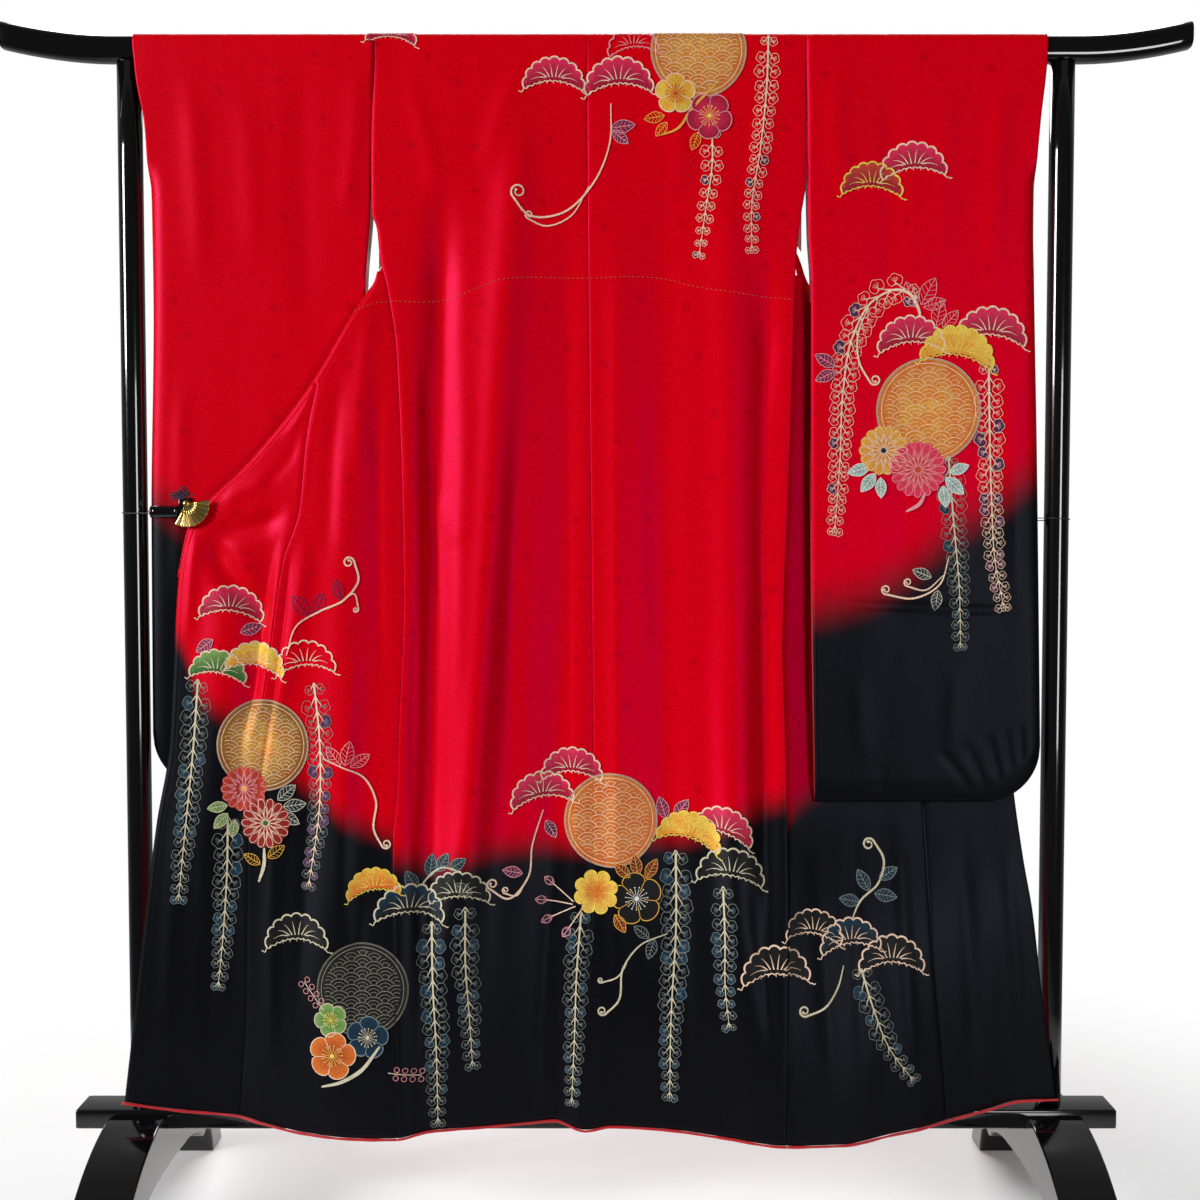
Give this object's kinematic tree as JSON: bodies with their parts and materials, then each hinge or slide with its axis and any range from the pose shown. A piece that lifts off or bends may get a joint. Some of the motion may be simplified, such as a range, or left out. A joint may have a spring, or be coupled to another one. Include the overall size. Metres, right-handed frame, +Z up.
{
  "type": "furisode kimono on a kimono stand",
  "caption": "Long-sleeved silk kimono spread over a black lacquered kimono stand, seen from its back, one front pulled out and held by a fan clip.",
  "frame": {"origin": "on the floor under the centre of the stand", "axes": "+X to the viewer's right along the bar, +Y away from the viewer, +Z up"},
  "size_m": [1.75, 0.6, 1.7915],
  "materials": {
    "cloth": "figured silk crepe, crimson shading into black, with painted and gilt motifs",
    "lining": "plain red silk lining, rolled out at the hem",
    "lacquer": "black gloss lacquer on wood",
    "clip": "black gloss",
    "gilt": "worn gilt",
    "cord": "twisted dark cord"
  },
  "bodies": {
    "root": {"body_left": "cloth", "body_right": "cloth", "front_left": "cloth", "front_right": "cloth", "okumi_left": "cloth", "okumi_right": "cloth", "collar_left": "cloth", "collar_neck": "cloth", "collar_right": "cloth", "sleeve_left": "cloth", "sleeve_right": "cloth", "hem_left": "lining", "hem_back": "lining", "hem_right": "lining", "stand_bar": "lacquer", "stand_post_left": "lacquer", "stand_post_right": "lacquer", "stand_board": "lacquer", "stand_foot_left": "lacquer", "stand_foot_right": "lacquer", "clip_rod_left": "clip", "clip_rod_right": "clip", "clip_jaw": "clip", "clip_fan": "gilt", "clip_pin": "gilt", "clip_knot": "cord", "thread_left": "cord", "thread_right": "cord"}
  },
  "joints": []
}
